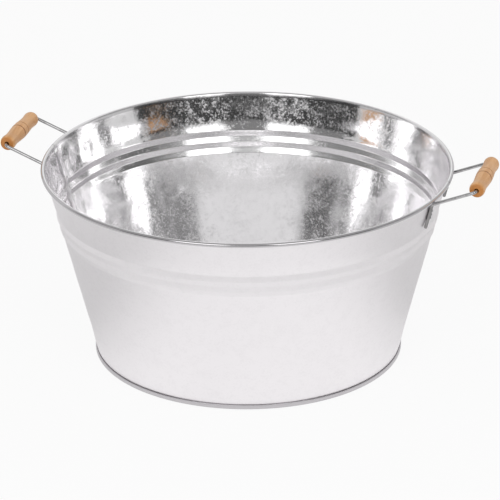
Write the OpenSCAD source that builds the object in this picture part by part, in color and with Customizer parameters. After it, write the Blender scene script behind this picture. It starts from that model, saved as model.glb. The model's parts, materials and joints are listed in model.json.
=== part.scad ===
// Round galvanized wash tub with two fixed wire handles and turned wooden grips.
// The tub stands on z = 0 with its axis on z. The handles and both side seams lie along x.

/* [Tub] */
// Outer diameter across the rolled rim
rim_od = 500; // [430:5:600]
// Height from the ground to the top of the rim
tub_h = 239; // [200:1:300]
// Outer diameter of the wall just above the foot seam
base_od = 375; // [340:5:400]
// Thickness of the zinc coated sheet
sheet_t = 0.5; // [0.4:0.05:0.6]
// Clearance between two folded layers of sheet
fold_gap = 0.1; // [0.06:0.01:0.15]

/* [Rolled rim] */
// Diameter of the wire inside the rim
rim_wire_d = 4; // [3:0.25:6]
// Clearance between the rim wire and the sheet rolled round it
curl_gap = 0.08; // [0.05:0.01:0.15]
// Angle through which the sheet is rolled round the wire
curl_sweep = 295; // [250:5:305]
// Opening left in the roll where the two wall panels meet
rim_joint_gap = 1.4; // [0.4:0.1:2]

/* [Beads] */
// Number of swaged beads in the wall
bead_count = 2; // [1:1:3]
// Height of one bead, measured up the tub
bead_pitch = 13.9; // [11:0.1:16]
// How far a bead stands out from the wall
bead_depth = 1.4; // [0.8:0.1:2]
// Distance of the highest bead's upper edge below the top of the rim
bead_drop = 48; // [44:1:70]
// Radius at the crests and valleys of the beads, at mid sheet
bead_round = 3; // [2.5:0.1:4]

/* [Foot and floor] */
// Height of the double seam round the foot
foot_seam_h = 5.5; // [4.5:0.1:8]
// Corner radius of the foot fold, at mid sheet
foot_round = 0.85; // [0.7:0.05:0.95]
// Height of the floor's underside above the ground
floor_rise = 7; // [6:0.5:12]
// Radius between the floor and its upright edge, at mid sheet
floor_corner_r = 3; // [2:0.5:4]
// Diameter of the stiffening ring pressed into the floor, at its crest
floor_ring_d = 250; // [150:5:300]
// Width of the stiffening ring
floor_ring_w = 16; // [10:1:24]
// Height of the stiffening ring
floor_ring_h = 1.5; // [0.8:0.1:3]

/* [Side seams] */
// Width of the hooked layers of a side seam
seam_w = 7; // [5:0.5:10]
// Distance of the folded layers' upper end below the top of the rim
seam_top_drop = 9; // [7:0.5:20]
// Distance of the folded layers' lower end above the foot seam
seam_foot_rise = 4; // [3:0.5:15]

/* [Handle wires] */
// Diameter of the handle wire
handle_wire_d = 4; // [3:0.25:5]
// Reach of the grip's axis beyond the outer edge of the rim
handle_reach = 42; // [32:1:60]
// Angle of the arms above level
arm_angle = 22; // [10:1:35]
// Clearance between the arms and the underside of the rim
arm_gap = 0.35; // [0.2:0.05:1]
// Distance of the legs' lower ends below the top of the rim
leg_drop = 38; // [30:1:40]
// Clearance between the legs and the wall
leg_gap = 0.2; // [0.1:0.05:0.5]
// Bend radius under the rim, at the middle of the wire
leg_bend_r = 4; // [3:0.5:6]
// Bend radius beside the grip, at the middle of the wire
corner_bend_r = 4; // [3:0.5:8]

/* [Welds] */
// Number of overlapping weld drops beside each leg
weld_count = 3; // [2:1:4]
// Radius of one weld drop
weld_r = 2.6; // [2:0.1:3]
// Distance between weld drops, measured up the tub
weld_pitch = 4.4; // [3:0.1:5]
// Distance of the highest weld drop below the top of the rim
weld_drop = 17.5; // [15:0.5:24]
// Sideways distance of the weld drops from the middle of the leg
weld_side = 2.8; // [2:0.1:3.2]
// Distance of a weld drop's centre from the wall
weld_out = 1.9; // [1.4:0.1:2.2]
// Clearance between the weld drops and the wall
weld_gap = 0.02; // [0.01:0.01:0.1]

/* [Grips] */
// Length of a grip
grip_len = 92; // [80:1:110]
// Diameter at the middle of the barrel
grip_barrel_d = 20; // [18:0.5:26]
// Diameter at the two necks
grip_neck_d = 17.4; // [15:0.2:17.8]
// Diameter at the two end bulbs
grip_bulb_d = 18.8; // [18:0.2:22]
// Diameter of the flat end faces
grip_face_d = 13; // [9:0.5:14]
// Distance of a bulb's widest place from the end
grip_bulb_at = 5.5; // [4:0.5:8]
// Distance of a neck from the end
grip_neck_at = 18; // [14:1:26]
// Diameter of the hole through the grip
grip_bore_d = 5.6; // [5.4:0.1:6.5]
// Free play between each end of the grip and the bend of the wire
grip_end_play = 0.8; // [0.4:0.1:2]
// Distance between the two scribed grooves
groove_pitch = 12; // [8:1:20]
// Width of a scribed groove
groove_w = 1.2; // [0.8:0.1:2]
// Depth of a scribed groove
groove_depth = 0.5; // [0.3:0.1:0.8]

/* [Hidden] */
$fn = 96;

zinc = [0.78, 0.79, 0.80];
zinc_shade = [0.70, 0.72, 0.74];
wire_zinc = [0.62, 0.64, 0.66];
beech = [0.85, 0.67, 0.44];

// Steps used for one rounded corner of a sheet path, for a full fold and for the rolled rim
corner_steps = 4;
fold_steps = 8;
curl_steps = 20;
// Steps used along a grip: on its rounded end, from bulb to neck, and from neck to groove
end_steps = 6;
neck_steps = 8;
barrel_steps = 6;
// Extra length that lets a cutting block run past what it cuts
overrun = 5;
// Angle by which a wall panel is longer than half a turn before its seam edges are cut
panel_spare = 5;
// Rods swell a little where they are bent, and the straights reach this far into the bends
bend_swell = 0.02;
bend_reach = 0.2;

// Distance from one folded layer of sheet to the next
layer = sheet_t + fold_gap;
half_t = sheet_t / 2;

// Rolled rim: outer radius of the roll, radius at mid sheet, and its centre
curl_ro = rim_wire_d / 2 + curl_gap + sheet_t;
curl_rm = curl_ro - half_t;
rim_r = rim_od / 2;
curl_x = rim_r - curl_ro;
curl_z = tub_h - curl_ro;
// How far a block reaches from the middle of the roll to cut right through it
curl_reach = 2 * curl_rm;

// The wall at mid sheet starts above the foot seam and runs tangent into the roll
base_r = base_od / 2;
wall_x0 = base_r - half_t;
wall_z0 = foot_seam_h;
wall_lean = atan2(curl_x - wall_x0, curl_z - wall_z0)
          - asin(curl_rm / norm([curl_x - wall_x0, curl_z - wall_z0]));

// Foot seam: the radius about which all its folds lie, and the middle height of its lower folds
seam_mid_r = base_r + fold_gap + half_t;
foot_fold_z = 2 * layer + half_t;

// Stiffening ring in the floor: half widths of its foot and of its flat crown
ring_half = floor_ring_w / 2;
crown_half = ring_half / 3;

// Side seam: its layers reach half its width to both sides of the middle
seam_half = seam_w / 2;
joint_y = seam_half + sheet_t;
seam_z0 = foot_seam_h + seam_foot_rise;
seam_z1 = tub_h - seam_top_drop;
bead_z1 = tub_h - bead_drop;
bead_z0 = bead_z1 - bead_count * bead_pitch;

// Handle wire: half the distance between the arms leaves the grip its length, play and bends
arm_y = grip_len / 2 + grip_end_play + corner_bend_r;
wire_r = handle_wire_d / 2;
grip_x = rim_r + handle_reach;
arm_dir = [cos(arm_angle), sin(arm_angle)];
rim_at_arm = [sqrt(curl_x * curl_x - arm_y * arm_y), curl_z];
arm_pass = rim_at_arm + (curl_ro + wire_r + arm_gap) * [sin(arm_angle), -cos(arm_angle)];
grip_z = arm_pass[1] + (grip_x - arm_pass[0]) * tan(arm_angle);
leg_z0 = tub_h - leg_drop;
leg_z1 = tub_h - 2 * curl_ro;
leg_foot = [leg_x(leg_z0), leg_z0];
leg_dir = [leg_x(leg_z1), leg_z1] - leg_foot;
leg_top = leg_foot + leg_dir * cross2(arm_pass - leg_foot, arm_dir) / cross2(leg_dir, arm_dir);

// The weld drops of a leg lie in one row that runs straight up the wall, at this angle from x
weld_turn = asin((arm_y - weld_side) / wall_outer(tub_h - weld_drop));

// Radius of the wall at mid sheet, and of its outer face, at a height
function wall_mid(z) = wall_x0 + (z - wall_z0) * tan(wall_lean);
function wall_outer(z) = wall_mid(z) + half_t / cos(wall_lean);

// Where a leg's axis lies beside the wall, in the plane of its arm
function leg_x(z) = sqrt(pow(wall_outer(z) + (wire_r + leg_gap) / cos(wall_lean), 2) - arm_y * arm_y);

function unit(v) = v / norm(v);
function cross2(a, b) = a[0] * b[1] - a[1] * b[0];
function turned(v, a) = [v[0] * cos(a) - v[1] * sin(a), v[0] * sin(a) + v[1] * cos(a)];
function reversed(list) = [for (i = [len(list) - 1:-1:0]) list[i]];

// Points along an arc from angle a0 to angle a1
function arc(centre, r, a0, a1, steps) =
    [for (i = [0:steps]) let (a = a0 + (a1 - a0) * i / steps) centre + r * [cos(a), sin(a)]];

// A corner of a path, rounded to radius r, as points from one tangent point to the other
function rounded(a, p, b, r) =
    r == 0 ? [p] :
    let (u = unit(a - p),
         v = unit(b - p),
         half = acos(u * v) / 2,
         centre = p + unit(u + v) * r / sin(half),
         start = p + u * r / tan(half) - centre,
         turn = (180 - 2 * half) * sign(cross2(p - a, b - p)))
    [for (i = [0:corner_steps]) centre + turned(start, turn * i / corner_steps)];

// A path through points [x, z, corner radius]
function rounded_path(pts) =
    [for (i = [0:len(pts) - 1])
        let (p = [pts[i][0], pts[i][1]])
        each (i == 0 || i == len(pts) - 1 ? [p] :
            rounded([pts[i - 1][0], pts[i - 1][1]], p, [pts[i + 1][0], pts[i + 1][1]], pts[i][2]))];

// Unit step to the left of a direction
function side_step(v) = unit([-v[1], v[0]]);

// The path moved sideways by d, to the left of its direction, with mitred corners
function shifted(path, d) =
    [for (i = [0:len(path) - 1])
        let (before = side_step(i == 0 ? path[1] - path[0] : path[i] - path[i - 1]),
             after = side_step(i == len(path) - 1 ? path[i] - path[i - 1] : path[i + 1] - path[i]))
        path[i] + d * (before + after) / (1 + before * after)];

// Section of a sheet, or of several layers of it, between two distances from a path
module ribbon(path, d0, d1) {
    polygon(concat(shifted(path, d0), reversed(shifted(path, d1))));
}

// Swaged beads as points [x, z, corner radius], from below
function bead_points() =
    [for (i = [0:2 * bead_count])
        let (z = bead_z0 + i * bead_pitch / 2,
             out = i % 2 == 1 ? bead_depth : 0)
        [wall_mid(z) + out * cos(wall_lean), z - out * sin(wall_lean), bead_round]];

// The wall between two heights, with its beads
function wall_points(z0, z1) = concat([[wall_mid(z0), z0, 0]], bead_points(), [[wall_mid(z1), z1, 0]]);

// The foot hook of a wall panel, from its free edge down and round to the wall
hook_path = concat([[seam_mid_r + layer, foot_seam_h - layer - half_t]],
                   arc([seam_mid_r, foot_fold_z], layer, 0, -180, fold_steps));

// The sheet rolled outwards round the rim wire, starting where the wall meets the roll
curl_path = arc([curl_x, curl_z], curl_rm, 180 - wall_lean, 180 - wall_lean - curl_sweep, curl_steps);

panel_path = concat(hook_path, rounded_path(concat([[wall_x0, wall_z0, 0]], bead_points(), [curl_path[0]])),
                    [for (i = [1:curl_steps]) curl_path[i]]);
seam_path = rounded_path(wall_points(seam_z0, seam_z1));

// A block from y0 to y1 on the +x side, as tall as the tub
module slice(y0, y1) {
    translate([0, y0, -overrun]) cube([rim_r + overrun, y1 - y0, tub_h + 2 * overrun]);
}

// Layers of a side seam between two depths below the wall's mid sheet, from y0 to y1
module seam_strip(d0, d1, y0, y1) {
    span = 2 * asin((seam_w + overrun) / base_r);
    intersection() {
        rotate(-span / 2) rotate_extrude(angle = span) ribbon(seam_path, d0, d1);
        slice(y0, y1);
    }
}

// Edge that runs out flush, folds inwards and returns, on the +x side of the front panel
module outer_hook() {
    seam_strip(0, 2 * layer + half_t, seam_half, joint_y);
    seam_strip(2 * layer - half_t, 2 * layer + half_t, -seam_half + fold_gap, seam_half + half_t);
}

// Edge that steps inwards over the other panel's hook and folds back into it
module inner_hook() {
    step_y = joint_y + fold_gap;
    seam_strip(0, 3 * layer + half_t, step_y, step_y + sheet_t);
    seam_strip(3 * layer - half_t, 3 * layer + half_t, -joint_y, step_y + half_t);
    seam_strip(layer - half_t, 3 * layer, -joint_y, -seam_half);
    seam_strip(layer - half_t, layer + half_t, -joint_y + half_t, seam_half - fold_gap);
}

// One half of the wall, from the side seam at -x round the front to the side seam at +x
module wall_panel() {
    difference() {
        rotate(180 - panel_spare / 2) rotate_extrude(angle = 180 + panel_spare)
            ribbon(panel_path, -half_t, half_t);
        slice(joint_y, rim_r);
        rotate(180) slice(-rim_r, joint_y + fold_gap);
        rim_joint(0);
        rim_joint(180);
    }
    outer_hook();
    rotate(180) inner_hook();
}

// The opening in the rolled rim at a seam
module rim_joint(side) {
    middle_y = joint_y + fold_gap / 2;
    rotate(side) translate([curl_x - curl_reach, middle_y - rim_joint_gap / 2, curl_z - curl_reach])
        cube([2 * curl_reach, rim_joint_gap, 2 * curl_reach]);
}

module front_wall() {
    color(zinc) wall_panel();
}

module back_wall() {
    color(zinc_shade) rotate(180) wall_panel();
}

module rim_wire() {
    color(wire_zinc) rotate_extrude() translate([curl_x, curl_z]) circle(d = rim_wire_d);
}

// The floor from its middle out to the upright edge, and the folds of the foot seam
function pan_points() =
    let (z = floor_rise + half_t,
         crown_z = z + floor_ring_h,
         r = floor_ring_d / 2,
         up = seam_mid_r - 2 * layer,
         out = seam_mid_r + 2 * layer)
    [[0, z, 0],
     [r - ring_half, z, crown_half],
     [r - crown_half, crown_z, crown_half],
     [r + crown_half, crown_z, crown_half],
     [r + ring_half, z, crown_half],
     [up, z, floor_corner_r],
     [up, half_t, foot_round],
     [out, half_t, foot_round],
     [out, foot_seam_h / 2, 0]];

// The pan's edge turned over the wall's foot hook
pan_fold = arc([seam_mid_r + layer, foot_seam_h - half_t - layer], layer, 0, 180, fold_steps);

module bottom_pan() {
    path = concat(rounded_path(pan_points()), pan_fold, [[seam_mid_r, foot_fold_z]]);
    color(zinc) rotate_extrude() ribbon(path, -half_t, half_t);
}

// A round rod along a straight line
module rod(p, q, r) {
    v = q - p;
    translate(p) rotate([0, acos(v[2] / norm(v)), atan2(v[1], v[0])]) cylinder(r = r, h = norm(v));
}

// A round rod bent at corner p, on its way from a to b
module rod_bend(a, p, b, bend_r, r) {
    u = unit(a - p);
    v = unit(b - p);
    half = acos(u * v) / 2;
    centre = p + unit(u + v) * bend_r / sin(half);
    ex = unit(p + u * bend_r / tan(half) - centre);
    ez = unit(cross(ex, -u));
    multmatrix([[ex[0], -u[0], ez[0], centre[0]],
                [ex[1], -u[1], ez[1], centre[1]],
                [ex[2], -u[2], ez[2], centre[2]],
                [0, 0, 0, 1]])
        rotate_extrude(angle = 180 - 2 * half) translate([bend_r, 0]) circle(r = r + bend_swell);
}

// How far a bend's tangent point lies from its corner
function tangent_len(a, p, b, bend_r) = bend_r / tan(acos(unit(a - p) * unit(b - p)) / 2);

// A rod through corners, each with its own bend radius
module bent_rod(pts, bends, r) {
    last = len(pts) - 1;
    cut = [for (i = [0:last])
        i == 0 || i == last ? 0 : tangent_len(pts[i - 1], pts[i], pts[i + 1], bends[i]) - bend_reach];
    for (i = [0:last - 1]) {
        along = unit(pts[i + 1] - pts[i]);
        rod(pts[i] + along * cut[i], pts[i + 1] - along * cut[i + 1], r);
    }
    for (i = [1:last - 1]) rod_bend(pts[i - 1], pts[i], pts[i + 1], bends[i], r);
}

// Weld drops between a leg and the wall, on the side that faces the seam, each flat where it meets the wall
module leg_weld() {
    rotate(weld_turn) difference() {
        for (i = [0:weld_count - 1]) {
            z = tub_h - weld_drop - i * weld_pitch;
            translate([wall_outer(z) + weld_out, 0, z]) sphere(r = weld_r);
        }
        translate([wall_outer(wall_z0), 0, wall_z0]) rotate([0, wall_lean, 0])
            translate([weld_gap - overrun, -overrun, 0]) cube([overrun, 2 * overrun, tub_h]);
    }
}

// Handle wire on the +x side: two legs on the wall, two arms and the run that carries the grip
module handle_wire() {
    ends = [[leg_foot[0], arm_y, leg_foot[1]], [leg_top[0], arm_y, leg_top[1]], [grip_x, arm_y, grip_z]];
    far_ends = [for (p = reversed(ends)) [p[0], -p[1], p[2]]];
    bent_rod(concat(ends, far_ends), [0, leg_bend_r, corner_bend_r, corner_bend_r, leg_bend_r, 0], wire_r);
    for (side = [0, 1]) mirror([0, side, 0]) {
        translate(ends[0]) sphere(r = wire_r);
        leg_weld();
    }
}

module right_handle_wire() {
    color(wire_zinc) handle_wire();
}

module left_handle_wire() {
    color(wire_zinc) rotate(180) handle_wire();
}

// Smooth change from a to b as u goes from 0 to 1
function eased(a, b, u) = a + (b - a) * (1 - cos(180 * u)) / 2;

// Radius of the turned grip at a distance from its nearer end
function grip_r(s) =
    s < grip_bulb_at ?
        let (u = 1 - s / grip_bulb_at)
        grip_face_d / 2 + (grip_bulb_d - grip_face_d) / 2 * sqrt(1 - u * u) :
    s < grip_neck_at ?
        eased(grip_bulb_d, grip_neck_d, (s - grip_bulb_at) / (grip_neck_at - grip_bulb_at)) / 2 :
        eased(grip_neck_d, grip_barrel_d, (s - grip_neck_at) / (grip_len / 2 - grip_neck_at)) / 2;

// Half of the grip's outline, from its end to its middle
groove_s = (grip_len - groove_pitch) / 2;
barrel_s = groove_s - groove_pitch / 2;
grip_stations =
    concat([for (i = [0:end_steps]) grip_bulb_at * (1 - cos(90 * i / end_steps))],
           [for (i = [1:neck_steps]) grip_bulb_at + (grip_neck_at - grip_bulb_at) * i / neck_steps],
           [for (i = [1:barrel_steps]) grip_neck_at + (barrel_s - grip_neck_at) * i / barrel_steps]);
function grip_half() =
    concat([for (s = grip_stations) [grip_r(s), s]],
           [[grip_r(groove_s - groove_w / 2), groove_s - groove_w / 2],
            [grip_r(groove_s) - groove_depth, groove_s],
            [grip_r(groove_s + groove_w / 2), groove_s + groove_w / 2],
            [grip_barrel_d / 2, grip_len / 2]]);

module grip() {
    half = grip_half();
    bore_r = grip_bore_d / 2;
    outline = concat([[bore_r, 0]], half,
                     [for (i = [len(half) - 2:-1:0]) [half[i][0], grip_len - half[i][1]]],
                     [[bore_r, grip_len]]);
    translate([grip_x, grip_len / 2, grip_z]) rotate([90, 0, 0]) rotate_extrude() polygon(outline);
}

module right_grip() {
    color(beech) grip();
}

module left_grip() {
    color(beech) rotate(180) grip();
}

front_wall();
back_wall();
rim_wire();
bottom_pan();
left_handle_wire();
right_handle_wire();
left_grip();
right_grip();
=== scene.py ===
"""Looks of the galvanized wash tub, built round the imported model. Lengths are in metres."""

import json
import logging
import math
from collections.abc import Callable, Sequence
from dataclasses import dataclass
from enum import Enum

import bpy
from bpy.types import AreaLight, Material, Node, NodeSocket, NodeTree, Object
from mathutils import Matrix, Vector

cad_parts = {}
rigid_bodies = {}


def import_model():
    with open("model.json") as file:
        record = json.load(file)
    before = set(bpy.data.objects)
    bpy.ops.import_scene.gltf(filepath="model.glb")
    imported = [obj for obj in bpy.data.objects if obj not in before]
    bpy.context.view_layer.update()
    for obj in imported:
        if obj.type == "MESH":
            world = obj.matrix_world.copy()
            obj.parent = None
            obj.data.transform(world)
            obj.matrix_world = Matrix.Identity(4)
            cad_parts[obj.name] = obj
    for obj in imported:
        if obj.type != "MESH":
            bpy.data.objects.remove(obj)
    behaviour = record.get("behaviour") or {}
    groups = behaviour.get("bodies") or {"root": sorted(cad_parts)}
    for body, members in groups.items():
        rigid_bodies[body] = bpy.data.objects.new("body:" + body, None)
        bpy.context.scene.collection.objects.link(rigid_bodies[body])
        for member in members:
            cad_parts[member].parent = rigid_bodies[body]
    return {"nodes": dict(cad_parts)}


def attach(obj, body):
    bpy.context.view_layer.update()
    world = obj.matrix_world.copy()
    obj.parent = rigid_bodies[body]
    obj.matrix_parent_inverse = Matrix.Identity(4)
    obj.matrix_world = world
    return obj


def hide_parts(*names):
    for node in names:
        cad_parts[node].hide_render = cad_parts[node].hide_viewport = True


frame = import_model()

LOG = logging.getLogger("wash_tub")
TUB_BODY = "tub"
Z_AXIS = Vector((0.0, 0.0, 1.0))
TINY = 1e-5
# Width of the small plane that is merged into the first vertex of an outline
SEED_SIZE = 0.001


class Element(Enum):
    """What edit mode selects, with Blender's name for it."""

    VERTEX = "VERT"
    EDGE = "EDGE"
    FACE = "FACE"


class Half(Enum):
    """The two panels of the wall, with the turn about z that each has."""

    FRONT = 0.0
    BACK = math.pi


class Side(Enum):
    """The two handles, with the turn about z that each has."""

    RIGHT = 0.0
    LEFT = math.pi


def linear(hex_colour: str) -> tuple[float, float, float, float]:
    """Turns an sRGB hex colour into the linear colour that a shader takes.

    Args:
        hex_colour: six hex digits, such as "D8A873".

    Returns:
        Red, green, blue and an alpha of 1.
    """
    parts = [int(hex_colour[i:i + 2], 16) / 255 for i in (0, 2, 4)]
    red, green, blue = (p / 12.92 if p <= 0.04045 else ((p + 0.055) / 1.055) ** 2.4 for p in parts)
    return red, green, blue, 1.0


def per_metre(millimetres: float) -> float:
    """Gives the texture scale at which one cell is that many millimetres wide."""
    return 1000.0 / millimetres


def along_y(width: float, length: float) -> tuple[float, float, float]:
    """Gives the texture scales of cells that are drawn out along y, with their sizes in millimetres."""
    return per_metre(width), per_metre(length), per_metre(width)


WHITE = linear("FFFFFF")


# Small tools of the bench: selecting, drawing an outline, bending, finishing


def deselect_everything() -> None:
    """Leaves nothing selected, so that the next operator acts on one piece alone."""
    for item in bpy.context.view_layer.objects:
        item.select_set(False)


def take_up(piece: Object) -> None:
    """Selects one piece alone and makes it active.

    Args:
        piece: the piece.
    """
    deselect_everything()
    piece.select_set(True)
    bpy.context.view_layer.objects.active = piece


def edit_mode(kind: Element = Element.VERTEX) -> None:
    """Enters edit mode on the active piece with one kind of element selectable."""
    bpy.ops.object.mode_set(mode="EDIT")
    bpy.ops.mesh.select_mode(type=kind.value)


def object_mode() -> None:
    """Leaves edit mode."""
    bpy.ops.object.mode_set(mode="OBJECT")


def select_by_place(kind: Element, test: Callable[[Vector], bool]) -> None:
    """Selects parts of the active piece by where they are, and stays in edit mode.

    Args:
        kind: what is selected.
        test: says whether a place is wanted. Every vertex of an edge or face has to pass.
    """
    bpy.ops.mesh.select_mode(type=kind.value)
    bpy.ops.mesh.select_all(action="DESELECT")
    object_mode()
    mesh = bpy.context.object.data
    wanted = [test(v.co) for v in mesh.vertices]
    if kind is Element.VERTEX:
        for vertex, good in zip(mesh.vertices, wanted):
            vertex.select = good
    else:
        for element in mesh.edges if kind is Element.EDGE else mesh.polygons:
            element.select = all(wanted[i] for i in element.vertices)
    bpy.ops.object.mode_set(mode="EDIT")


def extrude_by(step: Vector) -> None:
    """Extrudes what is selected by a step."""
    bpy.ops.mesh.extrude_region_move(TRANSFORM_OT_translate={"value": tuple(step)})


def spin_by(angle: float, steps: int, centre: Vector, axis: Vector) -> None:
    """Spins what is selected about an axis, counterclockwise as seen against it."""
    bpy.ops.mesh.spin(steps=steps, angle=-angle, center=tuple(centre), axis=tuple(axis),
                      use_auto_merge=False)


def close_turn() -> None:
    """Merges the first and the last outline of a full turn, and leaves edit mode."""
    bpy.ops.mesh.select_all(action="SELECT")
    bpy.ops.mesh.remove_doubles(threshold=TINY / 2)
    object_mode()


def draw_outline(name: str, points: Sequence[Vector]) -> Object:
    """Draws a chain of edges, vertex by vertex, and stays in edit mode with all of it selected.

    Args:
        name: the new piece's name.
        points: where the chain runs.

    Returns:
        The new piece.
    """
    deselect_everything()
    bpy.ops.mesh.primitive_plane_add(size=SEED_SIZE, location=tuple(points[0]))
    piece = bpy.context.object
    piece.name = piece.data.name = name
    bpy.ops.object.transform_apply(location=True, rotation=True, scale=True)
    edit_mode()
    bpy.ops.mesh.select_all(action="SELECT")
    bpy.ops.mesh.merge(type="CENTER")
    for before, after in zip(points, points[1:]):
        extrude_by(after - before)
    bpy.ops.mesh.select_all(action="SELECT")
    return piece


def face_outwards(piece: Object, probe: Callable[[Vector, Vector], float]) -> None:
    """Makes the faces agree with each other and turns them all if they point the wrong way.

    Args:
        piece: the piece, in object mode.
        probe: takes a face's middle and normal, and is positive where it points as wanted.
    """
    take_up(piece)
    edit_mode(Element.FACE)
    bpy.ops.mesh.select_all(action="SELECT")
    bpy.ops.mesh.normals_make_consistent(inside=False)
    object_mode()
    if sum(probe(p.center, p.normal) * p.area for p in piece.data.polygons) < 0:
        bpy.ops.object.mode_set(mode="EDIT")
        bpy.ops.mesh.select_all(action="SELECT")
        bpy.ops.mesh.flip_normals()
        object_mode()


def apply_modifier(piece: Object, kind: str, **settings: object) -> None:
    """Adds a modifier with its settings and applies it.

    Args:
        piece: the piece that it shapes.
        kind: the modifier's Blender type.
        settings: the modifier's properties with their values.
    """
    take_up(piece)
    modifier = piece.modifiers.new(kind.title(), kind)
    for key, value in settings.items():
        setattr(modifier, key, value)
    bpy.ops.object.modifier_apply(modifier=modifier.name)


def smooth(piece: Object, degrees: float = 35.0) -> None:
    """Shades a piece smooth, except at edges sharper than an angle."""
    take_up(piece)
    bpy.ops.object.shade_smooth_by_angle(angle=math.radians(degrees))


def join(name: str, pieces: Sequence[Object]) -> Object:
    """Joins pieces into the first one.

    Args:
        name: the name that the joined piece gets.
        pieces: the pieces.

    Returns:
        The joined piece.
    """
    take_up(pieces[0])
    for other in pieces[1:]:
        other.select_set(True)
    bpy.ops.object.join()
    pieces[0].name = pieces[0].data.name = name
    return pieces[0]


def turned_copy(piece: Object, name: str, turn: float) -> Object:
    """Copies a piece with its own mesh and turns the copy about the tub's axis.

    Args:
        piece: the piece that is copied.
        name: the copy's name.
        turn: how far the copy is turned, in radians.

    Returns:
        The copy.
    """
    copy = piece.copy()
    copy.data = piece.data.copy()
    bpy.context.scene.collection.objects.link(copy)
    copy.name = copy.data.name = name
    copy.data.transform(Matrix.Rotation(turn, 4, "Z"))
    return copy


def settle(piece: Object, body: str, nodes: Sequence[str] = ()) -> None:
    """Lets a finished piece ride on its body, in place of CAD nodes.

    Args:
        piece: the finished piece.
        body: the body that it moves with.
        nodes: the CAD nodes that it replaces.
    """
    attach(piece, body)
    if nodes:
        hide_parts(*nodes)
    LOG.info("%s: %d faces on %s", piece.name, len(piece.data.polygons), body)


def facing(place: Vector, way: Vector) -> Matrix:
    """Gives the frame at a place whose z points one way."""
    return Matrix.Translation(place) @ way.to_track_quat("Z", "Y").to_matrix().to_4x4()


# Outlines in the plane of radius and height


def arc(centre: Vector, radius: float, start: float, end: float, steps: int) -> list[Vector]:
    """Gives points along an arc, from one angle in degrees to another."""
    angles = [math.radians(start + (end - start) * i / steps) for i in range(steps + 1)]
    return [centre + radius * Vector((math.cos(a), math.sin(a))) for a in angles]


def corner_arc(before: Vector, corner: Vector, after: Vector,
               radius: float) -> tuple[Vector, Vector, Vector, float]:
    """Finds the arc that rounds a corner.

    Args:
        before: the corner before.
        corner: the corner itself.
        after: the corner after.
        radius: the radius of the arc.

    Returns:
        Where the arc starts and where it ends, its centre, and how far it turns, in radians.
    """
    u, v = (before - corner).normalized(), (after - corner).normalized()
    half = u.angle(v) / 2
    run = radius / math.tan(half)
    centre = corner + (u + v).normalized() * radius / math.sin(half)
    return corner + u * run, corner + v * run, centre, math.pi - 2 * half


def rounded_outline(corners: Sequence[tuple[float, float, float]], steps: int) -> list[Vector]:
    """Rounds the inner corners of an outline.

    Args:
        corners: radius, height and corner radius of each corner.
        steps: how many straight pieces each arc has.

    Returns:
        Points along the outline.
    """
    flat = [Vector(c[:2]) for c in corners]
    points = [flat[0]]
    for before, corner, after, (_, _, radius) in zip(flat, flat[1:], flat[2:], corners[1:]):
        start, _, centre, turn = corner_arc(before, corner, after, radius)
        turn = math.copysign(turn, (corner - before).cross(after - corner))
        points += [centre + Matrix.Rotation(turn * i / steps, 2) @ (start - centre)
                   for i in range(steps + 1)]
    return points + [flat[-1]]


def fade(value: float, start: float, end: float) -> float:
    """Gives how far a value has come from a start, which counts 0, to an end, which counts 1."""
    return min(1.0, max(0.0, (value - start) / (end - start)))


def with_rows(points: Sequence[Vector], spacing: float) -> list[Vector]:
    """Adds points to the long straight stretches of an outline.

    Args:
        points: the outline.
        spacing: the longest stretch that stays whole.

    Returns:
        The outline with the added points.
    """
    rows = [points[0]]
    for before, after in zip(points, points[1:]):
        count = max(1, math.ceil((after - before).length / spacing))
        rows += [before.lerp(after, i / count) for i in range(1, count + 1)]
    return rows


def upright(points: Sequence[Vector], azimuth: float) -> list[Vector]:
    """Stands an outline up in the plane through the tub's axis at an azimuth in radians."""
    return [Vector((p.x * math.cos(azimuth), p.x * math.sin(azimuth), p.y)) for p in points]


# Materials

# A Mix node with this setting mixes colours. Its input 0 is the share of 7 against 6, output 2 the result.
COLOURS = {"data_type": "RGBA"}
HALF_WAY = (0.5, 0.5, 0.5)
# Coordinates over a lamp's face run from 0 to 1, so its edges lie this far from its middle
HALF_FACE = 0.5


@dataclass(frozen=True)
class Ramp:
    """A smooth change from one value to another, between a start and an end."""

    start: float
    end: float
    at_start: float = 0.0
    at_end: float = 1.0

    @property
    def settings(self) -> dict[str | int, str | float]:
        """The settings that draw it on a Map Range node."""
        return {"interpolation_type": "SMOOTHSTEP", 1: self.start, 2: self.end, 3: self.at_start,
                4: self.at_end}


def add_node(tree: NodeTree, kind: str, settings: dict | None = None, links: dict | None = None) -> Node:
    """Adds a node with its settings and its links.

    Args:
        tree: the node tree of a material, a lamp or the world.
        kind: the node's Blender type, without the word ShaderNode before it.
        settings: property names, or input names or numbers, with their values.
        links: input names or numbers, each with the socket that feeds it, or a node for its first output.

    Returns:
        The new node.
    """
    node = tree.nodes.new(f"ShaderNode{kind}")
    for key, value in (settings or {}).items():
        if isinstance(key, str) and hasattr(node, key):
            setattr(node, key, value)
        else:
            node.inputs[key].default_value = value
    for key, source in (links or {}).items():
        socket = source.outputs[0] if isinstance(source, Node) else source
        tree.links.new(socket, node.inputs[key])
    return node


def new_material(name: str) -> tuple[Material, NodeTree]:
    """Makes a material with an empty node tree.

    Args:
        name: the material's name.

    Returns:
        The material and its node tree.
    """
    material = bpy.data.materials.new(name)
    material.use_nodes = True
    material.node_tree.nodes.clear()
    return material, material.node_tree


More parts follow.
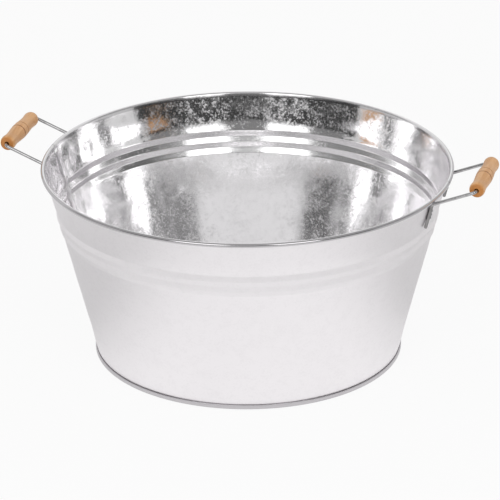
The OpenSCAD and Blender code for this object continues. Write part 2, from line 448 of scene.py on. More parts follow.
@dataclass(frozen=True)
class HotDipZinc:
    """Steel sheet that was dipped in molten zinc, which froze as bright and dull crystals called spangle.

    To the eye it is a mirror with soft grey clouds and crisp small flecks. The bright crystals show the
    surroundings nearly sharp, the dull ones scatter light, and each leans its own small way. Fine upright
    lines come from the rolling of the sheet. The beads are scuffed by the wheels that pressed them, and
    outside they are chalky as well, so that they scatter part of the light. The rim is burnished on top.
    Painted shade darkens both sides of the roll to grey, and the foot seam as well. Widths are in
    millimetres, and places on the tub and depths of relief in metres. The edge of a crystal is ragged over
    a share of its width, and strays by its tear, in metres for each millimetre of width. The weights say
    how much the crystals, patches, blotches and flecks add to the clouds.
    """

    name: str
    bright: str = "F7F6F7"
    dull: str = "F2F1F2"
    # Painted shade: the grey of the foot seam, and the grey of the two sides of the roll
    folded: str = "C6C3C6"
    rolled: str = "C5C3C5"
    crystal: float = 4.0
    fleck: float = 2.7
    blotch: float = 11.0
    blotch_twist: float = 0.5
    patch: float = 30.0
    ragged: float = 0.5
    tear: float = 0.0016
    crystal_weight: float = 0.3
    patch_weight: float = 1.2
    blotch_weight: float = 1.7
    fleck_weight: float = 1.0
    cloudy_from: float = 1.95
    cloudy_to: float = 2.75
    cloudy: float = 0.7
    crowding: float = 0.35
    speckles: Ramp = Ramp(0.71, 0.8, 0.0, 0.52)
    more_above: Ramp = Ramp(0.16, 0.2, 0.0, 0.05)
    glossy: float = 0.075
    frosted: float = 0.27
    burnished: float = 0.11
    scuffed: float = 0.17
    chalky: float = 0.0
    lean: float = 0.012
    line_width: float = 0.9
    line_length: float = 90.0
    line_strength: float = 0.05
    line_relief: float = 0.0004
    beads_from: float = 0.163
    beads_to: float = 0.192
    bead_fade: float = 0.002
    on_rim: Ramp = Ramp(0.2325, 0.2345)
    # Where the painted shade lies: on the foot seam, and on both sides of the roll
    foot_shade: Ramp = Ramp(0.0054, 0.0062, 1.0, 0.0)
    roll_shade: Ramp = Ramp(0.2332, 0.2338)
    roll_outside: Ramp = Ramp(0.2472, 0.2482)
    roll_inside: Ramp = Ramp(0.2462, 0.247, 0.5, 0.0)

    def make(self) -> Material:
        """Makes the material.

        Returns:
            The finished material.
        """
        material, tree = new_material(self.name)
        place = add_node(tree, "TexCoord").outputs["Object"]
        height = add_node(tree, "SeparateXYZ", {}, {0: place}).outputs["Z"]
        crystals = self.crystals(tree, place)
        dullness = self.dullness(tree, place, height, crystals)
        beads = self.on_beads(tree, height)
        links = {"Base Color": self.colour(tree, place, height, dullness),
                 "Roughness": self.roughness(tree, height, dullness, beads),
                 "Normal": self.normal(tree, place, crystals)}
        if self.chalky:
            links["Metallic"] = add_node(tree, "Math",
                                         {"operation": "MULTIPLY_ADD", 1: -self.chalky, 2: 1.0}, {0: beads})
        shader = add_node(tree, "BsdfPrincipled", {"Metallic": 1.0}, links)
        add_node(tree, "OutputMaterial", {}, {"Surface": shader})
        return material

    def crystals(self, tree: NodeTree, place: NodeSocket) -> NodeSocket:
        """Draws the crystals, with torn edges.

        Args:
            tree: the material's node tree.
            place: the place on the sheet.

        Returns:
            A colour that each crystal has all over, drawn by lot.
        """
        ragged = add_node(tree, "TexNoise",
                          {"Scale": per_metre(self.crystal * self.ragged), "Detail": 2.0, "Roughness": 0.6},
                          {"Vector": place})
        shift = add_node(tree, "VectorMath", {"operation": "SUBTRACT", 1: HALF_WAY},
                         {0: ragged.outputs["Color"]})
        torn = add_node(tree, "VectorMath",
                        {"operation": "MULTIPLY_ADD", 1: (self.crystal * self.tear,) * 3},
                        {0: shift, 2: place})
        cells = add_node(tree, "TexVoronoi", {"Scale": per_metre(self.crystal)}, {"Vector": torn})
        return cells.outputs["Color"]

    def dullness(self, tree: NodeTree, place: NodeSocket, height: NodeSocket, crystals: NodeSocket) -> Node:
        """Adds soft clouds and crisp flecks up to how dull the sheet is.

        Args:
            tree: the material's node tree.
            place: the place on the sheet.
            height: the height above the floor.
            crystals: the colour of each crystal.

        Returns:
            A node that gives 0 where the sheet is bright and 1 where it is dullest.
        """
        drawn = add_node(tree, "SeparateColor", {}, {"Color": crystals})
        patches, blotches, flecks = (
            add_node(tree, "TexNoise", {"Scale": per_metre(width), "Detail": 2.0, "Distortion": twist},
                     {"Vector": place})
            for width, twist in ((self.patch, 0.0), (self.blotch, self.blotch_twist), (self.fleck, 0.0)))
        mottled = add_node(tree, "MapRange", self.more_above.settings, {0: height})
        for value, weight in ((drawn, self.crystal_weight), (patches, self.patch_weight),
                              (blotches, self.blotch_weight), (flecks, self.fleck_weight)):
            mottled = add_node(tree, "Math", {"operation": "MULTIPLY_ADD", 1: weight},
                               {0: value, 2: mottled})
        clouds = add_node(tree, "MapRange", {1: self.cloudy_from, 2: self.cloudy_to, 4: self.cloudy},
                          {0: mottled})
        crowded = add_node(tree, "Math", {"operation": "MULTIPLY_ADD", 1: self.crowding},
                           {0: blotches, 2: flecks})
        speckles = add_node(tree, "MapRange", self.speckles.settings, {0: crowded})
        return add_node(tree, "Math", {"operation": "ADD", "use_clamp": True}, {0: clouds, 1: speckles})

    def on_beads(self, tree: NodeTree, height: NodeSocket) -> Node:
        """Finds the beads.

        Args:
            tree: the material's node tree.
            height: the height above the floor.

        Returns:
            A node that gives 1 on the beads and 0 off them.
        """
        above, below = (
            add_node(tree, "MapRange", Ramp(start, start + self.bead_fade).settings, {0: height})
            for start in (self.beads_from, self.beads_to - self.bead_fade))
        return add_node(tree, "Math", {"operation": "SUBTRACT", "use_clamp": True}, {0: above, 1: below})

    def roughness(self, tree: NodeTree, height: NodeSocket, dullness: Node, beads: Node) -> Node:
        """Gives the roughness: that of the crystals, the scuffed beads and the burnished rim.

        Args:
            tree: the material's node tree.
            height: the height above the floor.
            dullness: how dull the sheet is.
            beads: 1 on the beads and 0 off them.

        Returns:
            A node that gives the roughness.
        """
        sheet = add_node(tree, "MapRange", {3: self.glossy, 4: self.frosted}, {0: dullness})
        scuffs = add_node(tree, "Math", {"operation": "MULTIPLY", 1: self.scuffed}, {0: beads})
        wall = add_node(tree, "Math", {"operation": "MAXIMUM"}, {0: sheet, 1: scuffs})
        on_rim = add_node(tree, "MapRange", self.on_rim.settings, {0: height})
        return add_node(tree, "Mix", {"data_type": "FLOAT", 3: self.burnished}, {0: on_rim, 2: wall})

    def colour(self, tree: NodeTree, place: NodeSocket, height: NodeSocket, dullness: Node) -> NodeSocket:
        """Gives the colour: that of the crystals, with painted shade on the foot seam and the two sides of
        the rim.

        Args:
            tree: the material's node tree.
            place: the place on the sheet.
            height: the height above the floor.
            dullness: how dull the sheet is.

        Returns:
            The colour.
        """
        sheet = add_node(tree, "Mix", COLOURS | {6: linear(self.bright), 7: linear(self.dull)},
                         {0: dullness})
        # Painted shade: the foot seam is darkened to grey
        foot_shade = add_node(tree, "MapRange", self.foot_shade.settings, {0: height})
        with_foot_shade = add_node(tree, "Mix", COLOURS | {7: linear(self.folded)},
                          {0: foot_shade, 6: sheet.outputs[2]})
        # Painted shade: both sides of the roll are darkened to grey, the inner side half as much, and the
        # top stays bright
        level = add_node(tree, "VectorMath", {"operation": "MULTIPLY", 1: (1.0, 1.0, 0.0)}, {0: place})
        radius = add_node(tree, "VectorMath", {"operation": "LENGTH"}, {0: level}).outputs["Value"]
        outer, inner = (add_node(tree, "MapRange", ramp.settings, {0: radius})
                        for ramp in (self.roll_outside, self.roll_inside))
        off_top = add_node(tree, "Math", {"operation": "ADD"}, {0: outer, 1: inner})
        upper = add_node(tree, "MapRange", self.roll_shade.settings, {0: height})
        roll_shade = add_node(tree, "Math", {"operation": "MULTIPLY"}, {0: off_top, 1: upper})
        rolled = add_node(tree, "Mix", COLOURS | {7: linear(self.rolled)},
                          {0: roll_shade, 6: with_foot_shade.outputs[2]})
        return rolled.outputs[2]

    def normal(self, tree: NodeTree, place: NodeSocket, crystals: NodeSocket) -> Node:
        """Leans each crystal its own way, over the fine upright lines of the rolled sheet.

        Args:
            tree: the material's node tree.
            place: the place on the sheet.
            crystals: the colour of each crystal.

        Returns:
            A node that gives the normal.
        """
        tilt = add_node(tree, "VectorMath", {"operation": "SUBTRACT", 1: HALF_WAY}, {0: crystals})
        across = per_metre(self.line_width)
        lines = add_node(tree, "Mapping", {"Scale": (across, across, per_metre(self.line_length))},
                         {"Vector": place})
        drawn_out = add_node(tree, "TexNoise", {"Scale": 1.0, "Detail": 2.0}, {"Vector": lines})
        relief = add_node(tree, "Bump", {"Strength": self.line_strength, "Distance": self.line_relief},
                          {"Height": drawn_out})
        leaning = add_node(tree, "VectorMath", {"operation": "MULTIPLY_ADD", 1: (self.lean,) * 3},
                           {0: tilt, 2: relief})
        return add_node(tree, "VectorMath", {"operation": "NORMALIZE"}, {0: leaning})


@dataclass(frozen=True)
class DrawnWire:
    """Zinc coated steel wire, drawn through a die: smooth and bright, with a faint dullness here and there.

    The legs hang in the shade under the rim, and that shade is painted on them as dark grey up to the rim.
    Widths are in millimetres, and places on the tub and depths of relief in metres.
    """

    name: str
    bright: str = "BEBDBE"
    dull: str = "9E9D9E"
    # Painted shade: the dark grey of the legs, which hang under the rim
    leg_shade: str = "7B7978"
    leg_shade_mask: Ramp = Ramp(0.226, 0.234, 0.65, 0.0)
    streak: float = 9.0
    worn: Ramp = Ramp(0.42, 0.75)
    glossy: float = 0.08
    frosted: float = 0.16
    grain: float = 0.5
    grain_strength: float = 0.04
    grain_relief: float = 0.0001

    def make(self) -> Material:
        """Makes the material.

        Returns:
            The finished material.
        """
        material, tree = new_material(self.name)
        place = add_node(tree, "TexCoord").outputs["Object"]
        streaks = add_node(tree, "TexNoise", {"Scale": per_metre(self.streak), "Detail": 3.0},
                           {"Vector": place})
        wear = add_node(tree, "MapRange", self.worn.settings, {0: streaks})
        zinc = add_node(tree, "Mix", COLOURS | {6: linear(self.bright), 7: linear(self.dull)}, {0: wear})
        height = add_node(tree, "SeparateXYZ", {}, {0: place}).outputs["Z"]
        # Painted shade: the legs below the rim are darkened towards dark grey
        leg_shade_mask = add_node(tree, "MapRange", self.leg_shade_mask.settings, {0: height})
        colour = add_node(tree, "Mix", COLOURS | {7: linear(self.leg_shade)}, {0: leg_shade_mask, 6: zinc.outputs[2]})
        roughness = add_node(tree, "MapRange", Ramp(0.0, 1.0, self.glossy, self.frosted).settings,
                             {0: wear})
        grain = add_node(tree, "TexNoise", {"Scale": per_metre(self.grain), "Detail": 2.0},
                         {"Vector": place})
        relief = add_node(tree, "Bump", {"Strength": self.grain_strength, "Distance": self.grain_relief},
                          {"Height": grain})
        shader = add_node(tree, "BsdfPrincipled", {"Metallic": 1.0},
                          {"Base Color": colour.outputs[2], "Roughness": roughness, "Normal": relief})
        add_node(tree, "OutputMaterial", {}, {"Surface": shader})
        return material


@dataclass(frozen=True)
class WeldMetal:
    """Weld drops, left as they froze: grey, lumpy and frosted, with darker scale in the hollows.

    The width of a lump is in millimetres, and the depth of its relief in metres.
    """

    name: str
    bright: str = "B4B7B8"
    scale_grey: str = "55585A"
    lump: float = 1.4
    lump_strength: float = 0.6
    lump_relief: float = 0.0004
    in_hollows: Ramp = Ramp(0.35, 0.62, 1.0, 0.0)
    roughness: Ramp = Ramp(0.0, 1.0, 0.3, 0.6)

    def make(self) -> Material:
        """Makes the material.

        Returns:
            The finished material.
        """
        material, tree = new_material(self.name)
        place = add_node(tree, "TexCoord").outputs["Object"]
        lumps = add_node(tree, "TexNoise", {"Scale": per_metre(self.lump), "Detail": 3.0},
                         {"Vector": place})
        dark = add_node(tree, "MapRange", self.in_hollows.settings, {0: lumps})
        colour = add_node(tree, "Mix", COLOURS | {6: linear(self.bright), 7: linear(self.scale_grey)},
                          {0: dark})
        roughness = add_node(tree, "MapRange", self.roughness.settings, {0: dark})
        relief = add_node(tree, "Bump", {"Strength": self.lump_strength, "Distance": self.lump_relief},
                          {"Height": lumps})
        shader = add_node(tree, "BsdfPrincipled", {"Metallic": 0.9},
                          {"Base Color": colour.outputs[2], "Roughness": roughness, "Normal": relief})
        add_node(tree, "OutputMaterial", {}, {"Surface": shader})
        return material


@dataclass(frozen=True)
class TurnedBeech:
    """Beech, turned on a lathe along its grain and thinly varnished.

    To the eye it is warm tan with soft growth bands along the grip and short brown flecks. End grain
    drinks the varnish, so it is darker and more orange, and the scribed grooves are brown. Widths and
    lengths of the grain are in millimetres, and the groove's place and the depth of relief in metres.
    """

    name: str
    tan: str = "E9B37B"
    band: str = "D99F63"
    fleck: str = "B0703A"
    end_grain: str = "C4803B"
    scribed: str = "8C5227"
    pore_width: float = 0.3
    pore_length: float = 4.0
    pore_strength: float = 0.2
    pore_relief: float = 0.0001
    roughness: Ramp = Ramp(0.3, 0.7, 0.42, 0.58)
    band_width: float = 5.0
    band_length: float = 60.0
    band_slant: tuple[float, float, float] = (0.06, 0.0, 0.05)
    on_band: Ramp = Ramp(0.4, 0.66)
    fleck_width: float = 0.55
    fleck_length: float = 3.2
    on_fleck: Ramp = Ramp(0.12, 0.3, 0.4, 0.0)
    on_end: Ramp = Ramp(0.3, 0.85)
    groove_at: float = 0.0054
    in_groove: Ramp = Ramp(0.0002, 0.0009, 0.8, 0.0)

    def make(self) -> Material:
        """Makes the material.

        Returns:
            The finished material.
        """
        material, tree = new_material(self.name)
        coordinates = add_node(tree, "TexCoord")
        place = coordinates.outputs["Object"]
        pores = add_node(tree, "Mapping", {"Scale": along_y(self.pore_width, self.pore_length)},
                         {"Vector": place})
        grain = add_node(tree, "TexNoise", {"Scale": 1.0, "Detail": 3.0}, {"Vector": pores})
        relief = add_node(tree, "Bump", {"Strength": self.pore_strength, "Distance": self.pore_relief},
                          {"Height": grain})
        roughness = add_node(tree, "MapRange", self.roughness.settings, {0: grain})
        ended = self.with_end_grain(tree, self.side_grain(tree, place), coordinates.outputs["Normal"])
        shader = add_node(tree, "BsdfPrincipled",
                          {"IOR": 1.5, "Coat Weight": 0.25, "Coat Roughness": 0.3},
                          {"Base Color": self.with_grooves(tree, ended, place), "Roughness": roughness,
                           "Normal": relief})
        add_node(tree, "OutputMaterial", {}, {"Surface": shader})
        return material

    def side_grain(self, tree: NodeTree, place: NodeSocket) -> NodeSocket:
        """Draws the growth bands along the grip, with short brown flecks.

        Args:
            tree: the material's node tree.
            place: the place on the grip.

        Returns:
            The colour.
        """
        along = add_node(tree, "Mapping",
                         {"Scale": along_y(self.band_width, self.band_length), "Rotation": self.band_slant},
                         {"Vector": place})
        bands = add_node(tree, "TexNoise", {"Scale": 1.0, "Detail": 3.0, "Distortion": 0.4},
                         {"Vector": along})
        banded = add_node(tree, "MapRange", self.on_band.settings, {0: bands})
        wood = add_node(tree, "Mix", COLOURS | {6: linear(self.tan), 7: linear(self.band)}, {0: banded})
        short = add_node(tree, "Mapping", {"Scale": along_y(self.fleck_width, self.fleck_length)},
                         {"Vector": place})
        rays = add_node(tree, "TexVoronoi", {"Scale": 1.0, "Randomness": 1.0}, {"Vector": short})
        flecks = add_node(tree, "MapRange", self.on_fleck.settings, {0: rays.outputs["Distance"]})
        flecked = add_node(tree, "Mix", COLOURS | {7: linear(self.fleck)}, {0: flecks, 6: wood.outputs[2]})
        return flecked.outputs[2]

    def with_end_grain(self, tree: NodeTree, wood: NodeSocket, normal: NodeSocket) -> NodeSocket:
        """Darkens the ends of the grip, which face along y.

        Args:
            tree: the material's node tree.
            wood: the colour so far.
            normal: the way the surface faces.

        Returns:
            The colour.
        """
        facing = add_node(tree, "SeparateXYZ", {}, {0: normal})
        endwise = add_node(tree, "Math", {"operation": "ABSOLUTE"}, {0: facing.outputs["Y"]})
        at_end = add_node(tree, "MapRange", self.on_end.settings, {0: endwise})
        ended = add_node(tree, "Mix", COLOURS | {7: linear(self.end_grain)}, {0: at_end, 6: wood})
        return ended.outputs[2]

    def with_grooves(self, tree: NodeTree, wood: NodeSocket, place: NodeSocket) -> NodeSocket:
        """Browns the two scribed grooves, one on each side of the middle.

        Args:
            tree: the material's node tree.
            wood: the colour so far.
            place: the place on the grip.

        Returns:
            The colour.
        """
        across = add_node(tree, "SeparateXYZ", {}, {0: place})
        from_middle = add_node(tree, "Math", {"operation": "ABSOLUTE"}, {0: across.outputs["Y"]})
        past_groove = add_node(tree, "Math", {"operation": "SUBTRACT", 1: self.groove_at}, {0: from_middle})
        from_groove = add_node(tree, "Math", {"operation": "ABSOLUTE"}, {0: past_groove})
        in_groove = add_node(tree, "MapRange", self.in_groove.settings, {0: from_groove})
        grooved = add_node(tree, "Mix", COLOURS | {7: linear(self.scribed)}, {0: in_groove, 6: wood})
        return grooved.outputs[2]


@dataclass(frozen=True)
class Sheet:
    """Sizes of the folded sheet that the wall and the pan share."""

    rim_r: float = 0.250
    height: float = 0.239
    base_r: float = 0.1875
    thickness: float = 0.0005
    fold_gap: float = 0.0001
    wire_r: float = 0.002
    curl_gap: float = 0.00008
    curl_sweep: float = 295.0
    foot_seam: float = 0.0055
    fold_steps: int = 8

    @property
    def layer(self) -> float:
        """Distance from one folded layer to the next."""
        return self.thickness + self.fold_gap

    @property
    def half(self) -> float:
        """Half of the sheet's thickness."""
        return self.thickness / 2

    @property
    def curl_outer(self) -> float:
        """Outer radius of the roll round the rim wire."""
        return self.wire_r + self.curl_gap + self.thickness

    @property
    def curl_mid(self) -> float:
        """Radius of the roll at mid sheet."""
        return self.curl_outer - self.half

    @property
    def curl_centre(self) -> Vector:
        """Middle of the roll, as radius and height."""
        return Vector((self.rim_r - self.curl_outer, self.height - self.curl_outer))

    @property
    def wall_foot(self) -> Vector:
        """Where the wall starts above the foot seam, at mid sheet."""
        return Vector((self.base_r - self.half, self.foot_seam))

    @property
    def lean(self) -> float:
        """Angle of the wall from upright, in radians."""
        run = self.curl_centre - self.wall_foot
        return math.atan2(run.x, run.y) - math.asin(self.curl_mid / run.length)

    @property
    def seam_mid(self) -> float:
        """Radius about which the folds of the foot seam lie."""
        return self.base_r + self.fold_gap + self.half

    def wall_mid(self, z: float) -> float:
        """Radius of the wall at mid sheet, at a height."""
        return self.wall_foot.x + (z - self.wall_foot.y) * math.tan(self.lean)

    def wall_outer(self, z: float) -> float:
        """Radius of the wall's outer face, at a height."""
        return self.wall_mid(z) + self.half / math.cos(self.lean)


SHEET = Sheet()


def thicken(piece: Object, outside: Material, inside: Material) -> None:
    """Gives a folded sheet its thickness and its finishes.

    Args:
        piece: the sheet, whose faces point outwards.
        outside: the finish of its outer face.
        inside: the finish of its inner face.
    """
    piece.data.materials.append(outside)
    piece.data.materials.append(inside)
    apply_modifier(piece, "SOLIDIFY", thickness=SHEET.thickness, offset=0.0, use_even_offset=True,
                   material_offset=1)
    smooth(piece)


@dataclass
class TubWall:
    """Two half panels with swaged beads, rolled rim, foot hook and locked side seams.

    A panel is spun past both seams by its spare turns, in radians, and is then cut back to them. From a
    little above the side seams on, the gap between the panels is the wider joint gap. The waves are deepest
    some degrees beside the seams, and spread further on the left. They fade out towards the floor, the rim,
    the seams and the welds, from the second of the two values given to the first. Their places beside the
    seams are angles round the tub, in degrees.
    """

    inside: Material
    outside: Material
    bead_count: int = 2
    bead_pitch: float = 0.0139
    bead_depth: float = 0.0014
    bead_top: float = 0.191
    bead_round: float = 0.003
    shoulder: float = 0.0007
    shoulder_reach: float = 0.009
    shoulder_round: float = 0.16
    seam_width: float = 0.007
    seam_low: float = 0.0095
    seam_high: float = 0.230
    joint_gap: float = 0.0014
    row_spacing: float = 0.006
    turn_steps: int = 184
    roll_steps: int = 30
    bead_steps: int = 4
    spare_left: float = math.radians(0.9)
    spare_right: float = math.radians(2.1)
    near_seam: float = 0.03
    joint_above: float = 0.002
    wave_height: float = 0.0013
    wave_length: float = 0.045
    wave_off_wall: float = 0.0017
    wave_floor: tuple[float, float] = (0.015, 0.045)
    wave_rim: tuple[float, float] = (0.229, 0.217)
    wave_seam: tuple[float, float] = (1.4, 5.4)
    wave_peak: float = 9.0
    wave_spread_right: float = 11.0
    wave_spread_left: float = 22.0
    wave_least: float = 0.07
    weld_at: tuple[float, float] = (0.0495, 0.217)
    wave_weld: tuple[float, float] = (0.007, 0.022)

    def bead_corners(self) -> list[tuple[float, float, float]]:
        """Works out the corners of the beads, and of the shoulder that the rollers left above them.

        Returns:
            Radius, height and corner radius of each corner, from below.
        """
        low = self.bead_top - self.bead_count * self.bead_pitch
        last = 2 * self.bead_count
        stations = [(low + i * self.bead_pitch / 2, self.bead_depth if i % 2 else 0.0, self.bead_round)
                    for i in range(last)]
        stations.append((self.bead_top, -self.shoulder, self.bead_round))
        stations.append((self.bead_top + self.shoulder_reach, 0.0, self.shoulder_round))
        return [(SHEET.wall_mid(z) + out * math.cos(SHEET.lean), z - out * math.sin(SHEET.lean), bend)
                for z, out, bend in stations]

    def outline(self) -> list[Vector]:
        """Draws the panel's section from the edge of its foot hook to the free edge of its roll.

        Returns:
            Points along the section, as radius and height.
        """
        s = SHEET
        hook = [Vector((s.seam_mid + s.layer, s.foot_seam - s.layer - s.half))]
        hook += arc(Vector((s.seam_mid, 2 * s.layer + s.half)), s.layer, 0, -180, s.fold_steps)
        start = 180 - math.degrees(s.lean)
        roll = arc(s.curl_centre, s.curl_mid, start, start - s.curl_sweep, self.roll_steps)
        fixed = [(s.wall_mid(z), z) for z in (self.seam_low, self.seam_high)]
        corners = [(*s.wall_foot, 0.0), *self.bead_corners(), (*roll[0], 0.0)]
        wall = rounded_outline(corners, self.bead_steps)
        wall = sorted(wall + [Vector(p) for p in fixed], key=lambda p: p.y)
        return hook + with_rows(wall, self.row_spacing) + roll[1:]

    def cut(self, right: bool, y: float, low: float = 0.0) -> None:
        """Cuts the sheet straight across beside one seam, and drops what has a greater y.

        Args:
            right: True on the side of +x.
            y: where the cut lies.
            low: the lowest height that is cut.
        """
        select_by_place(Element.FACE, lambda p: (p.x > 0) == right and abs(p.y) < self.near_seam
                        and p.z > low - TINY)
        bpy.ops.mesh.bisect(plane_co=(0, y, 0), plane_no=(0, 1, 0), clear_outer=True)

    def fold(self, right: bool, y: float, steps: Sequence[tuple[float, float]]) -> None:
        """Folds the cut edge of the sheet into a hook, between the ends of the side seam.

        Args:
            right: True on the side of +x.
            y: where the edge lies.
            steps: moves along y and inwards, one for each fold.
        """
        select_by_place(Element.EDGE, lambda p: (p.x > 0) == right and abs(p.y - y) < TINY
                        and self.seam_low - TINY < p.z < self.seam_high + TINY)
        slope = math.cos(SHEET.lean)
        inwards = Vector((-slope if right else slope, 0, math.sin(SHEET.lean)))
        for along, deep in steps:
            extrude_by(Vector((0, along, 0)) + inwards * deep)

    def unevenness(self, panel: Object) -> None:
        """Gives the flat sheet slight waves, deeper near the side seams, where the locking pulled on it.

        Args:
            panel: the panel, still without its thickness.
        """
        group = panel.vertex_groups.new(name="loose_sheet")
        for vertex in panel.data.vertices:
            p = vertex.co
            radius = math.hypot(p.x, p.y)
            on_wall = abs(radius - SHEET.wall_mid(p.z)) < self.wave_off_wall
            away = math.degrees(math.atan2(abs(p.y), abs(p.x)))
            rise = fade(p.z, *self.wave_floor) * fade(p.z, *self.wave_rim)
            off_seam = fade(away, *self.wave_seam)
            spread = self.wave_spread_right if p.x > 0 else self.wave_spread_left
            near = math.exp(-((away - self.wave_peak) / spread) ** 2)
            off_weld = fade(math.hypot(abs(p.y) - self.weld_at[0], p.z - self.weld_at[1]), *self.wave_weld)
            depth = self.wave_least + (1 - self.wave_least) * near
            weight = rise * off_seam * off_weld * depth if on_wall else 0.0
            if weight > 0:
                group.add([vertex.index], weight, "REPLACE")
        texture = bpy.data.textures.new("sheet_waves", "CLOUDS")
        texture.noise_scale = self.wave_length
        texture.noise_depth = 1
        apply_modifier(panel, "DISPLACE", texture=texture, texture_coords="LOCAL", direction="NORMAL",
                       strength=-self.wave_height * 2, mid_level=0.0, vertex_group=group.name)

    def build(self) -> None:
        """Builds the front panel, and the back panel as a turned copy."""
        s = SHEET
        panel = draw_outline("front_wall_panel", upright(self.outline(), -math.pi - self.spare_left))
        spin_by(self.spare_left + math.pi + self.spare_right, self.turn_steps, Vector(), Z_AXIS)
        seam_half = self.seam_width / 2
        joint = seam_half + s.thickness
        edge = joint - s.half
        far_edge = joint + s.fold_gap + s.half
        opening = joint + s.fold_gap / 2
        self.cut(True, edge)
        self.cut(False, -far_edge)
        low = self.seam_high + self.joint_above
        self.cut(True, opening - self.joint_gap / 2, low)
        self.cut(False, -opening - self.joint_gap / 2, low)
        back_reach = seam_half - s.fold_gap
        self.fold(True, edge, [(0, 2 * s.layer), (-edge - back_reach, 0)])
        self.fold(False, -far_edge, [(0, 3 * s.layer), (far_edge + edge, 0), (0, -2 * s.layer),
                                     (-edge - back_reach, 0)])
        object_mode()
        face_outwards(panel, self.outward)
        other = turned_copy(panel, "back_wall_panel", Half.BACK.value)
        for half, piece in ((Half.FRONT, panel), (Half.BACK, other)):
            self.unevenness(piece)
            thicken(piece, self.outside, self.inside)
            settle(piece, TUB_BODY, [f"{half.name.lower()}_wall"])

    def outward(self, middle: Vector, normal: Vector) -> float:
        """Says whether a face of the plain wall points away from the axis.

        Args:
            middle: the face's middle.
            normal: the way the face points.

        Returns:
            A positive number if it does, and 0 for a face of the roll, the foot or a seam.
        """
        if not self.seam_low < middle.z < self.seam_high or abs(middle.y) < self.near_seam:
            return 0.0
        return middle.x * normal.x + middle.y * normal.y


@dataclass
class FootAndFloor:
    """The pan: a recessed floor with a stiffening ring, and the outer folds of the foot seam."""

    inside: Material
    outside: Material
    floor_rise: float = 0.007
    corner_r: float = 0.003
    foot_round: float = 0.00085
    ring_r: float = 0.125
    ring_half: float = 0.008
    ring_height: float = 0.0015
    row_spacing: float = 0.008
    corner_steps: int = 5
    turn_steps: int = 240

    def outline(self) -> list[Vector]:
        """Draws the pan's section from its middle to the edge that lies inside the foot seam.

        Returns:
            Points along the section, as radius and height.
        """
        s = SHEET
        z = self.floor_rise + s.half
        crown = self.ring_half / 3
        out, up = s.seam_mid + 2 * s.layer, s.seam_mid - 2 * s.layer
        corners = [(0.0, z, 0.0),
                   (self.ring_r - self.ring_half, z, crown),
                   (self.ring_r - crown, z + self.ring_height, crown),
                   (self.ring_r + crown, z + self.ring_height, crown),
                   (self.ring_r + self.ring_half, z, crown),
                   (up, z, self.corner_r),
                   (up, s.half, self.foot_round),
                   (out, s.half, self.foot_round),
                   (out, s.foot_seam / 2, 0.0)]
        fold_centre = Vector((s.seam_mid + s.layer, s.foot_seam - s.half - s.layer))
        fold = arc(fold_centre, s.layer, 0, 180, s.fold_steps)
        inner_edge = [Vector((s.seam_mid, 2 * s.layer + s.half))]
        return with_rows(rounded_outline(corners, self.corner_steps), self.row_spacing) + fold + inner_edge

    def build(self) -> None:
        """Builds the pan."""
        pan = draw_outline("bottom_pan_sheet", upright(self.outline(), 0.0))
        spin_by(2 * math.pi, self.turn_steps, Vector(), Z_AXIS)
        close_turn()
        flat_r = self.ring_r - self.ring_half
        face_outwards(pan, lambda middle, normal: -normal.z if middle.to_2d().length < flat_r else 0.0)
        thicken(pan, self.outside, self.inside)
        settle(pan, TUB_BODY, ["bottom_pan"])


